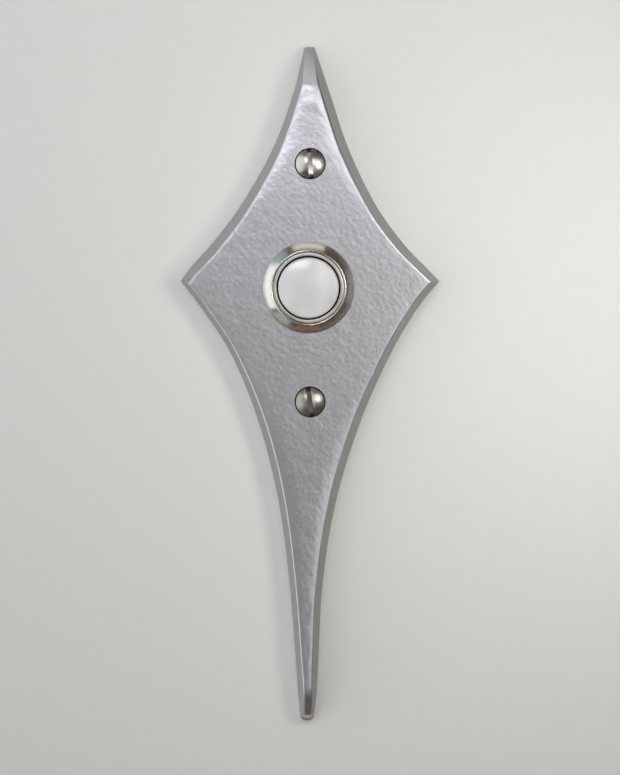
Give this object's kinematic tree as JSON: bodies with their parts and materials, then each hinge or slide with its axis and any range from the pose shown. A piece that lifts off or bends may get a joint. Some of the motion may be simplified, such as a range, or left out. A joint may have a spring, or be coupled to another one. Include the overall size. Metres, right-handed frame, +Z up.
{
  "type": "doorbell push button",
  "caption": "Tall pointed star plate of cast metal with a round sprung push button in a plated ring, held by slotted screws, with a threaded switch barrel behind it.",
  "frame": {"origin": "centre of the barrel where it leaves the back of the plate, so the wall is the plane Y = 0", "axes": "+Z up along the plate, +Y into the wall along the barrel, +X to the right as seen from the front"},
  "size_m": [0.0582, 0.0288, 0.1524],
  "materials": {
    "cast_aluminium": "sand cast aluminium, face tumbled to a soft shine, side walls left dull",
    "nickel": "polished nickel plate",
    "steel": "zinc plated steel",
    "spring_steel": "bare spring steel",
    "white_plastic": "glossy white moulding",
    "black_plastic": "black phenolic moulding",
    "brass": "turned brass"
  },
  "bodies": {
    "unit": {"face_plate": "cast_aluminium", "bezel_ring": "nickel", "barrel": "nickel", "lock_washer": "steel", "lock_nut": "nickel", "return_spring": "spring_steel", "contact_base": "black_plastic", "base_ring": "spring_steel", "contact_left": "brass", "contact_right": "brass", "clamp_washer_left": "steel", "clamp_washer_right": "steel", "terminal_screw_left": "steel", "terminal_screw_right": "steel", "screw_upper": "nickel", "screw_lower": "nickel"},
    "button": {"push_button": "white_plastic", "snap_ring": "spring_steel", "bridge_disc": "brass", "stem_clip": "spring_steel"}
  },
  "joints": [
    {"name": "button_press", "type": "slide", "parent": "unit", "child": "button", "axis": [0, 1, 0], "range_m": [0, 0.0015], "stiffness_N_per_m": 800, "springref_m": -0.0015, "deforming": ["return_spring"]}
  ]
}
